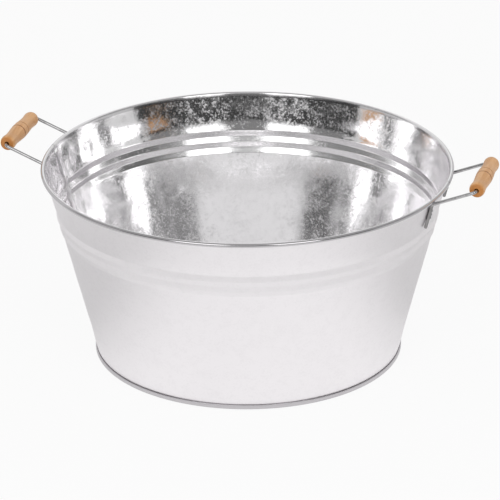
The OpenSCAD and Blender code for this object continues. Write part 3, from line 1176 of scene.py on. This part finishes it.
@dataclass
class Handle:
    """One fixed wire handle with its welds and turned grip, built at +x and turned for the other side.

    The weld is a run of drops beside each leg. Of each drop it is given how far down it lies, in pitches,
    and its size and how far it lies sideways, as shares of the weld's radius.
    """

    wire_finish: Material
    weld_finish: Material
    grip_finish: Material
    wire_r: float = 0.002
    reach: float = 0.042
    arm_angle: float = math.radians(22)
    arm_gap: float = 0.00035
    leg_drop: float = 0.038
    leg_gap: float = 0.0002
    bend_r: float = 0.004
    weld_drop: float = 0.0175
    weld_pitch: float = 0.0044
    weld_side: float = 0.0028
    weld_out: float = 0.0019
    weld_r: float = 0.0026
    weld_drops: tuple[tuple[float, float, float], ...] = (
        (0.0, 0.96, 0.0), (1.0, 1.02, 0.06), (1.95, 0.98, -0.08),
        (0.5, 0.55, -0.9), (2.6, 0.5, 0.2), (1.5, 0.5, -0.95))
    weld_voxel: float = 0.00022
    weld_clear: float = 0.00002
    grip_len: float = 0.092
    barrel_r: float = 0.010
    neck_r: float = 0.0087
    bulb_r: float = 0.0094
    face_r: float = 0.0065
    bulb_at: float = 0.0055
    neck_at: float = 0.018
    bore_r: float = 0.0028
    bore_chamfer: float = 0.0004
    end_play: float = 0.0008
    groove_pitch: float = 0.012
    groove_w: float = 0.0012
    groove_depth: float = 0.0005
    middle_flat: float = 0.002
    ring_points: int = 28
    end_steps: int = 6
    bend_steps: int = 10
    bulb_steps: int = 10
    neck_steps: int = 12
    barrel_steps: int = 10
    groove_steps: int = 4
    turn_steps: int = 64

    @property
    def arm_y(self) -> float:
        """Distance of an arm from the middle of the handle."""
        return self.grip_len / 2 + self.end_play + self.bend_r

    @property
    def grip_x(self) -> float:
        """Distance of the grip's axis from the tub's axis."""
        return SHEET.rim_r + self.reach

    def leg_x(self, z: float) -> float:
        """Gives where the leg's axis lies beside the wall, in the plane of its arm."""
        radius = SHEET.wall_outer(z) + (self.wire_r + self.leg_gap) / math.cos(SHEET.lean)
        return math.sqrt(radius ** 2 - self.arm_y ** 2)

    def corners(self) -> tuple[Vector, Vector, Vector]:
        """Works out the wire's corners.

        Returns:
            The leg's lower end, the corner under the rim and the corner beside the grip.
        """
        centre = SHEET.curl_centre
        arm = Vector((math.cos(self.arm_angle), math.sin(self.arm_angle)))
        away = SHEET.curl_outer + self.wire_r + self.arm_gap
        roll_x = math.sqrt(centre.x ** 2 - self.arm_y ** 2)
        passing = Vector((roll_x + away * arm.y, centre.y - away * arm.x))
        low, high = SHEET.height - self.leg_drop, SHEET.height - 2 * SHEET.curl_outer
        foot = Vector((self.leg_x(low), low))
        leg = Vector((self.leg_x(high), high)) - foot
        top = foot + leg * ((passing - foot).cross(arm) / leg.cross(arm))
        grip_z = passing.y + (self.grip_x - passing.x) * math.tan(self.arm_angle)
        place = [(foot.x, self.arm_y, foot.y), (top.x, self.arm_y, top.y), (self.grip_x, self.arm_y, grip_z)]
        return tuple(Vector(p) for p in place)

    def bend(self, before: Vector, corner: Vector, after: Vector, here: Vector) -> Vector:
        """Leads the selected ring of the wire straight to a corner and round it.

        Args:
            before: the corner before.
            corner: the corner itself.
            after: the corner after.
            here: where the ring is now.

        Returns:
            Where the ring is after the bend.
        """
        start, end, centre, turn = corner_arc(before, corner, after, self.bend_r)
        extrude_by(start - here)
        spin_by(turn, self.bend_steps, centre, (after - corner).cross(before - corner).normalized())
        return end

    def build_wire(self) -> Object:
        """Draws half of the wire from the leg's rounded end to the middle of the grip, and mirrors it.

        Returns:
            The wire.
        """
        foot, top, outer = self.corners()
        along = (top - foot).normalized()
        deselect_everything()
        first = math.radians(90 / self.end_steps)
        start = foot - along * self.wire_r * math.cos(first)
        bpy.ops.mesh.primitive_circle_add(vertices=self.ring_points, radius=self.wire_r * math.sin(first),
                                          fill_type="NGON", location=start,
                                          rotation=along.to_track_quat("Z", "Y").to_euler())
        wire = bpy.context.object
        bpy.ops.object.transform_apply(location=True, rotation=True, scale=True)
        edit_mode()
        bpy.ops.mesh.select_all(action="SELECT")
        here, radius = start, self.wire_r * math.sin(first)
        for i in range(2, self.end_steps + 1):
            angle = math.radians(90 * i / self.end_steps)
            there = foot - along * self.wire_r * math.cos(angle)
            extrude_by(there - here)
            scale = self.wire_r * math.sin(angle) / radius
            bpy.ops.transform.resize(value=(scale,) * 3, center_override=tuple(there))
            here, radius = there, self.wire_r * math.sin(angle)
        here = self.bend(foot, top, outer, here)
        middle = Vector((outer.x, 0, outer.z))
        here = self.bend(top, outer, middle, here)
        extrude_by(middle - here)
        bpy.ops.mesh.delete(type="ONLY_FACE")
        object_mode()
        apply_modifier(wire, "MIRROR", use_axis=(False, True, False), use_clip=True, merge_threshold=TINY)
        upper = outer.z + self.wire_r / 2
        face_outwards(wire, lambda face, normal: normal.z if face.z > upper else 0.0)
        wire.data.materials.append(self.wire_finish)
        smooth(wire, degrees=50)
        return wire

    def build_welds(self) -> Object:
        """Builds the weld drops beside both legs, flat where they meet the wall.

        Returns:
            The welds of one handle.
        """
        top = SHEET.height - self.weld_drop
        turn = math.asin((self.arm_y - self.weld_side) / SHEET.wall_outer(top))
        out = Vector((math.cos(turn), math.sin(turn), 0))
        wall_normal = out * math.cos(SHEET.lean) - Z_AXIS * math.sin(SHEET.lean)
        drops = []
        for drop, size, sideways in self.weld_drops:
            z = top - drop * self.weld_pitch
            place = out * (SHEET.wall_outer(z) + self.weld_out * size) + Z_AXIS * z
            place += Vector((-out.y, out.x, 0)) * sideways * self.weld_r
            deselect_everything()
            bpy.ops.mesh.primitive_ico_sphere_add(subdivisions=4, radius=size * self.weld_r, location=place)
            drops.append(bpy.context.object)
            bpy.ops.object.transform_apply(location=True, rotation=True, scale=True)
        weld = join("weld", drops)
        apply_modifier(weld, "REMESH", mode="VOXEL", voxel_size=self.weld_voxel)
        apply_modifier(weld, "SMOOTH", factor=0.5, iterations=4)
        on_wall = out * SHEET.wall_outer(top) + Z_AXIS * top
        to_wall = facing(on_wall + wall_normal * self.weld_clear, wall_normal)
        weld.data.transform(to_wall.inverted())
        take_up(weld)
        edit_mode()
        select_by_place(Element.VERTEX, lambda p: p.z < 0)
        bpy.ops.transform.resize(value=(1.0, 1.0, 0.0), center_override=(0.0, 0.0, 0.0))
        object_mode()
        weld.data.transform(to_wall)
        apply_modifier(weld, "MIRROR", use_axis=(False, True, False), use_mirror_merge=False)

        def away_from_wall(face: Vector, normal: Vector) -> float:
            """Says whether a face on the outer half of the mirrored weld points away from the wall."""
            out_of_wall = max(0.0, (face - on_wall).dot(wall_normal) - self.weld_out)
            return normal.dot(wall_normal) * out_of_wall if face.y > 0 else 0.0

        face_outwards(weld, away_from_wall)
        weld.data.materials.append(self.weld_finish)
        smooth(weld, degrees=60)
        return weld

    def grip_radius(self, s: float) -> float:
        """Gives the turned radius of the grip, without its grooves.

        Args:
            s: the distance from the nearer end.

        Returns:
            The radius.
        """
        if s < self.bulb_at:
            u = 1 - s / self.bulb_at
            return self.face_r + (self.bulb_r - self.face_r) * math.sqrt(max(0.0, 1 - u * u))
        if s < self.neck_at:
            start, end, u = self.bulb_r, self.neck_r, (s - self.bulb_at) / (self.neck_at - self.bulb_at)
        else:
            start, end = self.neck_r, self.barrel_r
            u = (s - self.neck_at) / (self.grip_len / 2 - self.neck_at)
        return start + (end - start) * (1 - math.cos(math.pi * u)) / 2

    def build_grip(self) -> Object:
        """Turns the grip: an outline with bulbs, necks, barrel and scribed grooves, spun round its bore.

        Returns:
            The grip.
        """
        middle = self.grip_len / 2
        groove = middle - self.groove_pitch / 2
        stations = [self.bulb_at * (1 - math.cos(math.radians(90 * i / self.bulb_steps)))
                    for i in range(self.bulb_steps + 1)]
        for start, end, steps in ((self.bulb_at, self.neck_at, self.neck_steps),
                                  (self.neck_at, groove - self.groove_w, self.barrel_steps)):
            stations += [start + (end - start) * i / steps for i in range(1, steps + 1)]
        half = [(self.bore_r, self.bore_chamfer), (self.bore_r + self.bore_chamfer, 0.0)]
        half += [(self.grip_radius(s), s) for s in stations]
        for step in range(-self.groove_steps, self.groove_steps + 1):
            s = groove + self.groove_w / 2 * step / self.groove_steps
            depth = self.groove_depth * (1 + math.cos(math.pi * step / self.groove_steps)) / 2
            half.append((self.grip_radius(s) - depth, s))
        half += [(self.grip_radius(s), s) for s in (groove + self.groove_w, middle - self.middle_flat)]
        whole = half + [(r, self.grip_len - s) for r, s in reversed(half)]
        whole.append(whole[0])
        axis = Vector((self.grip_x, 0, self.corners()[2].z))
        grip = draw_outline("grip", [axis + Vector((r, middle - s, 0)) for r, s in whole])
        spin_by(2 * math.pi, self.turn_steps, axis, Vector((0, 1, 0)))
        close_turn()

        def away_from_axis(face: Vector, normal: Vector) -> float:
            """Says whether a face of the barrel points away from the grip's axis."""
            spoke = Vector((face.x - axis.x, 0, face.z - axis.z))
            return spoke.dot(normal) if spoke.length > self.face_r else 0.0

        face_outwards(grip, away_from_axis)
        grip.data.materials.append(self.grip_finish)
        smooth(grip, degrees=40)
        return grip

    def build(self) -> None:
        """Builds the right handle, and the left one as a turned copy."""
        right = [self.build_wire(), self.build_welds(), self.build_grip()]
        names = ("handle_wire_rod", "leg_welds", "turned_grip")
        left = [turned_copy(piece, name, Side.LEFT.value) for piece, name in zip(right, names)]
        for side, pieces in ((Side.RIGHT, right), (Side.LEFT, left)):
            word = side.name.lower()
            for piece, name in zip(pieces, names):
                piece.name = piece.data.name = f"{word}_{name}"
            wire, weld, grip = pieces
            settle(wire, TUB_BODY, [f"{word}_handle_wire"])
            settle(weld, TUB_BODY)
            settle(grip, f"{word}_grip", [f"{word}_grip"])


@dataclass(frozen=True)
class Screen:
    """A curved grey screen round part of the set.

    It runs from a start to an end in azimuth, counted from the camera's, and from low to high in elevation.
    """

    name: str
    start: float
    end: float
    low: float
    high: float
    grey: float


@dataclass(frozen=True)
class Softbox:
    """A soft lamp that faces the tub, with a face that is dimmer towards its edges."""

    name: str
    azimuth: float
    elevation: float
    distance: float
    size: tuple[float, float]
    level: float
    dim_share: tuple[float, float] = (0.075, 0.142)

    def dim_edges(self, data: AreaLight) -> None:
        """Lets the light fall off towards the edges of the lamp's face.

        Args:
            data: the lamp's data.
        """
        data.use_nodes = True
        tree = data.node_tree
        tree.nodes.clear()
        face = add_node(tree, "NewGeometry").outputs["Parametric"]
        from_middle = add_node(tree, "VectorMath",
                               {"operation": "SUBTRACT", 1: (HALF_FACE, HALF_FACE, 0.0)}, {0: face})
        out = add_node(tree, "VectorMath", {"operation": "ABSOLUTE"}, {0: from_middle})
        ways = add_node(tree, "SeparateXYZ", {}, {0: out})
        dims = [Ramp(HALF_FACE - share, HALF_FACE, 1.0, 0.0) for share in self.dim_share]
        across, upwards = (add_node(tree, "MapRange", dim.settings, {0: ways.outputs[way]})
                           for dim, way in zip(dims, "XY"))
        strength = add_node(tree, "Math", {"operation": "MULTIPLY"}, {0: across, 1: upwards})
        glow = add_node(tree, "Emission", {"Color": WHITE}, {"Strength": strength})
        add_node(tree, "OutputLight", {}, {"Surface": glow})


@dataclass(frozen=True)
class Studio:
    """White floor and background, two softboxes, and grey screens that only reflections show.

    The softboxes and the screens stand where the sheet inside the tub shows them in the photograph. Angles
    are in degrees, azimuths from the camera's, and elevations as seen from the tub. A grey of 1 is white.
    The floor's ramps run over the distance from the pool of light or from the tub's axis.
    """

    camera_azimuth: float = 16.0
    camera_elevation: float = 23.433
    camera_distance: float = 3.677
    camera_roll: float = -0.37
    target: tuple[float, float, float] = (0.00252, 0.00072, 0.12395)
    lens: float = 216.0
    view_depth: float = 50.0
    floor_r: float = 14.0
    floor_points: int = 128
    floor_drop: float = 0.0002
    paper: str = "F2F2F2"
    lit_share: float = 0.1
    screen_r: float = 4.2
    screen_eye: float = 0.2
    screen_steps: int = 24
    # Painted light and shade of the floor in reflections: a pool of light, shade round the tub, a fall-off
    # far away and a shadow beside the foot seam
    pool_offset: float = 0.25
    pool_azimuth: float = 6.0
    pool: Ramp = Ramp(0.16, 0.62, 1.0, 0.37)
    shade_round_tub: Ramp = Ramp(0.35, 0.8, 0.68, 0.9)
    far_floor: Ramp = Ramp(1.1, 2.0, 1.0, 0.5)
    foot_shadow_ramp: Ramp = Ramp(0.1885, 0.192, 0.8, 1.0)
    ceiling_size: tuple[float, float] = (7.1, 4.3)
    ceiling_z: float = 3.3
    ceiling_grey: float = 0.5
    even_light: float = 0.64
    mirror_bounces: int = 12
    softboxes: tuple[Softbox, ...] = (
        Softbox("left_softbox", -25.5, 28.5, 3.4, (1.67, 2.12), 1.9),
        Softbox("right_softbox", 26.0, 28.5, 3.4, (1.52, 2.12), 1.9))
    screens: tuple[Screen, ...] = (
        Screen("room_low_front", -69.0, 69.0, -3.0, 9.5, 0.045),
        Screen("room_front", -62.0, 62.0, 9.5, 26.0, 0.21),
        Screen("room_high_front", -62.0, 62.0, 26.0, 41.0, 0.55),
        Screen("room_left", -112.0, -62.0, 13.0, 33.0, 0.23),
        Screen("room_right", 62.0, 103.0, 13.0, 33.0, 0.12),
        Screen("room_right_corner", 103.0, 112.0, 13.0, 33.0, 0.52),
        Screen("room_mid_left", -112.0, -62.0, 9.5, 13.0, 0.65),
        Screen("room_mid_right", 62.0, 112.0, 9.5, 13.0, 0.65),
        Screen("room_low_left", -112.0, -69.0, -3.0, 9.5, 0.65),
        Screen("room_low_right", 69.0, 112.0, -3.0, 9.5, 0.65),
        Screen("room_back", 112.0, 248.0, -3.0, 41.0, 0.82))

    def direction(self, azimuth: float, elevation: float) -> Vector:
        """Gives the direction from the tub at an azimuth from the camera's and an elevation."""
        a, e = math.radians(self.camera_azimuth + azimuth), math.radians(elevation)
        return Vector((math.sin(a) * math.cos(e), -math.cos(a) * math.cos(e), math.sin(e)))

    def camera(self) -> None:
        """Sets up the camera at the photograph's viewing angle."""
        back = self.direction(0.0, self.camera_elevation)
        right = Z_AXIS.cross(back).normalized()
        up = back.cross(right)
        roll = math.radians(self.camera_roll)
        x_axis = right * math.cos(roll) + up * math.sin(roll)
        y_axis = up * math.cos(roll) - right * math.sin(roll)
        camera = bpy.data.objects.new("camera", bpy.data.cameras.new("camera"))
        bpy.context.scene.collection.objects.link(camera)
        camera.data.lens = self.lens
        camera.data.clip_end = self.view_depth
        turn = Matrix((x_axis, y_axis, back)).transposed().to_4x4()
        camera.matrix_world = Matrix.Translation(Vector(self.target) + back * self.camera_distance) @ turn
        bpy.context.scene.camera = camera

    def world(self) -> None:
        """Lights the scene evenly from all round, and shows white to the camera and to what is reflected."""
        world = bpy.data.worlds.new("white_studio")
        bpy.context.scene.world = world
        world.use_nodes = True
        tree = world.node_tree
        tree.nodes.clear()
        light = add_node(tree, "Background", {"Strength": self.even_light, "Color": WHITE})
        white = add_node(tree, "Background", {"Strength": 1.0, "Color": WHITE})
        both = add_node(tree, "MixShader", {}, {0: self.seen(tree), 1: light, 2: white})
        add_node(tree, "OutputWorld", {}, {"Surface": both})

    @staticmethod
    def seen(tree: NodeTree) -> Node:
        """Finds what is seen directly, by reflection or through glass.

        Args:
            tree: the node tree of the floor or the world.

        Returns:
            A node that gives 1 for it, and 0 for other light.
        """
        path = add_node(tree, "LightPath")
        first = add_node(tree, "Math", {"operation": "ADD"},
                         {0: path.outputs["Is Camera Ray"], 1: path.outputs["Is Glossy Ray"]})
        return add_node(tree, "Math", {"operation": "ADD", "use_clamp": True},
                        {0: first, 1: path.outputs["Is Transmission Ray"]})

    def reflected_floor(self, tree: NodeTree) -> Node:
        """Gives how bright the floor is in reflections.

        Light and shade are painted on the floor here: a painted pool of light in front of the tub, painted
        shade round the tub outside the pool, and a painted fall-off far away. Right beside the foot seam a
        painted shadow makes it a little darker.

        Args:
            tree: the floor's node tree.

        Returns:
            A node that gives the brightness, where 1 is white.
        """
        place = add_node(tree, "TexCoord").outputs["Object"]
        radius = add_node(tree, "VectorMath", {"operation": "LENGTH"}, {0: place}).outputs["Value"]
        pool_middle = tuple(self.direction(self.pool_azimuth, 0.0) * self.pool_offset)
        distance = add_node(tree, "VectorMath", {"operation": "DISTANCE", 1: pool_middle}, {0: place})
        pool = add_node(tree, "MapRange", self.pool.settings, {0: distance.outputs["Value"]})
        # Painted shade round the tub, a painted fall-off far away and a painted shadow beside the foot seam
        shade_round_tub, far, foot_shadow = (add_node(tree, "MapRange", ramp.settings, {0: radius})
                                      for ramp in (self.shade_round_tub, self.far_floor, self.foot_shadow_ramp))
        lit = add_node(tree, "Math", {"operation": "MAXIMUM"}, {0: pool, 1: shade_round_tub})
        fading = add_node(tree, "Math", {"operation": "MULTIPLY"}, {0: lit, 1: far})
        return add_node(tree, "Math", {"operation": "MULTIPLY"}, {0: fading, 1: foot_shadow})

    def floor(self) -> None:
        """Lays a white floor that keeps the tub's shadow, as a share of it is paper lit by the lamps."""
        deselect_everything()
        bpy.ops.mesh.primitive_circle_add(vertices=self.floor_points, radius=self.floor_r, fill_type="NGON",
                                          location=(0, 0, -self.floor_drop))
        floor = bpy.context.object
        floor.name = "white_floor"
        material, tree = new_material("matt_white_floor")
        path = add_node(tree, "LightPath")
        # In reflections the floor glows with the painted light and shade of reflected_floor
        strength = add_node(tree, "Math", {"operation": "MAXIMUM"},
                            {0: path.outputs["Is Camera Ray"], 1: self.reflected_floor(tree)})
        glow = add_node(tree, "Emission", {"Color": WHITE}, {"Strength": strength})
        paper = add_node(tree, "BsdfDiffuse", {"Color": linear(self.paper)})
        share = add_node(tree, "Math", {"operation": "MULTIPLY_ADD", 1: -self.lit_share},
                         {0: path.outputs["Is Camera Ray"], 2: self.seen(tree)})
        both = add_node(tree, "MixShader", {}, {0: share, 1: paper, 2: glow})
        add_node(tree, "OutputMaterial", {}, {"Surface": both})
        floor.data.materials.append(material)

    def hang(self, softbox: Softbox) -> None:
        """Hangs a softbox, facing the tub.

        Args:
            softbox: its place, size and light.
        """
        width, height = softbox.size
        data = bpy.data.lights.new(softbox.name, "AREA")
        data.shape = "RECTANGLE"
        data.size, data.size_y = width, height
        data.energy = softbox.level * math.pi * width * height
        softbox.dim_edges(data)
        lamp = bpy.data.objects.new(softbox.name, data)
        bpy.context.scene.collection.objects.link(lamp)
        back = self.direction(softbox.azimuth, softbox.elevation)
        lamp.matrix_world = facing(Vector(self.target) + back * softbox.distance, back)

    def stand(self, screen: Screen) -> None:
        """Stands a curved screen round its part of the set.

        Args:
            screen: its place and grey.
        """
        heights = [self.screen_eye + self.screen_r * math.tan(math.radians(edge))
                   for edge in (screen.low, screen.high)]
        azimuth = math.radians(self.camera_azimuth + screen.start - 90)
        cloth = draw_outline(screen.name, upright([Vector((self.screen_r, z)) for z in heights], azimuth))
        spin_by(math.radians(screen.end - screen.start), self.screen_steps, Vector(), Z_AXIS)
        object_mode()
        self.finish_screen(cloth, screen.name, screen.grey)

    def ceiling(self) -> None:
        """Hangs a grey ceiling over the set, wider from side to side."""
        deselect_everything()
        bpy.ops.mesh.primitive_plane_add(size=1.0, location=(0, 0, self.ceiling_z),
                                         rotation=(0, 0, math.radians(self.camera_azimuth)))
        ceiling = bpy.context.object
        ceiling.scale = (*self.ceiling_size, 1.0)
        bpy.ops.object.transform_apply(location=True, rotation=True, scale=True)
        self.finish_screen(ceiling, "room_ceiling", self.ceiling_grey)

    @staticmethod
    def finish_screen(cloth: Object, name: str, grey: float) -> None:
        """Gives a screen its grey, and lets only reflections see it.

        Args:
            cloth: the screen's mesh object.
            name: the screen's name.
            grey: how bright it looks, where 1 is white.
        """
        cloth.name = name
        material, tree = new_material(f"{name}_cloth")
        glow = add_node(tree, "Emission", {"Strength": grey, "Color": WHITE})
        add_node(tree, "OutputMaterial", {}, {"Surface": glow})
        cloth.data.materials.append(material)
        cloth.visible_camera = cloth.visible_diffuse = cloth.visible_shadow = False
        cloth.visible_transmission = cloth.visible_volume_scatter = False

    def build(self) -> None:
        """Sets up the whole studio. Light may go many times from sheet to sheet inside the bright tub."""
        scene = bpy.context.scene
        scene.view_settings.view_transform = "Standard"
        scene.cycles.glossy_bounces = self.mirror_bounces
        self.camera()
        self.world()
        self.floor()
        for softbox in self.softboxes:
            self.hang(softbox)
        for screen in self.screens:
            self.stand(screen)
        self.ceiling()


def dress_rim_wire(finish: Material) -> None:
    """Gives the wire inside the rolled rim its finish.

    Args:
        finish: the wire's material.
    """
    materials = frame["nodes"]["rim_wire"].data.materials
    if not materials:
        materials.append(finish)
    for i in range(len(materials)):
        materials[i] = finish


def main() -> None:
    """Builds the tub's pieces in order, then the studio."""
    logging.basicConfig(level=logging.INFO, format="%(message)s")
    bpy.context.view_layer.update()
    inside = HotDipZinc("bright_spangled_zinc").make()
    outside = HotDipZinc("satin_zinc", glossy=0.37, frosted=0.4, scuffed=0.4, chalky=0.52, lean=0.003,
                         line_strength=0.02, bright="F0EDEF", dull="EDEAEC").make()
    wire = DrawnWire("bright_drawn_wire").make()
    TubWall(inside, outside).build()
    FootAndFloor(inside, outside).build()
    weld = WeldMetal("frosted_weld_metal").make()
    Handle(wire, weld, TurnedBeech("varnished_turned_beech").make()).build()
    dress_rim_wire(wire)
    Studio().build()


if __name__ == "__main__":
    main()
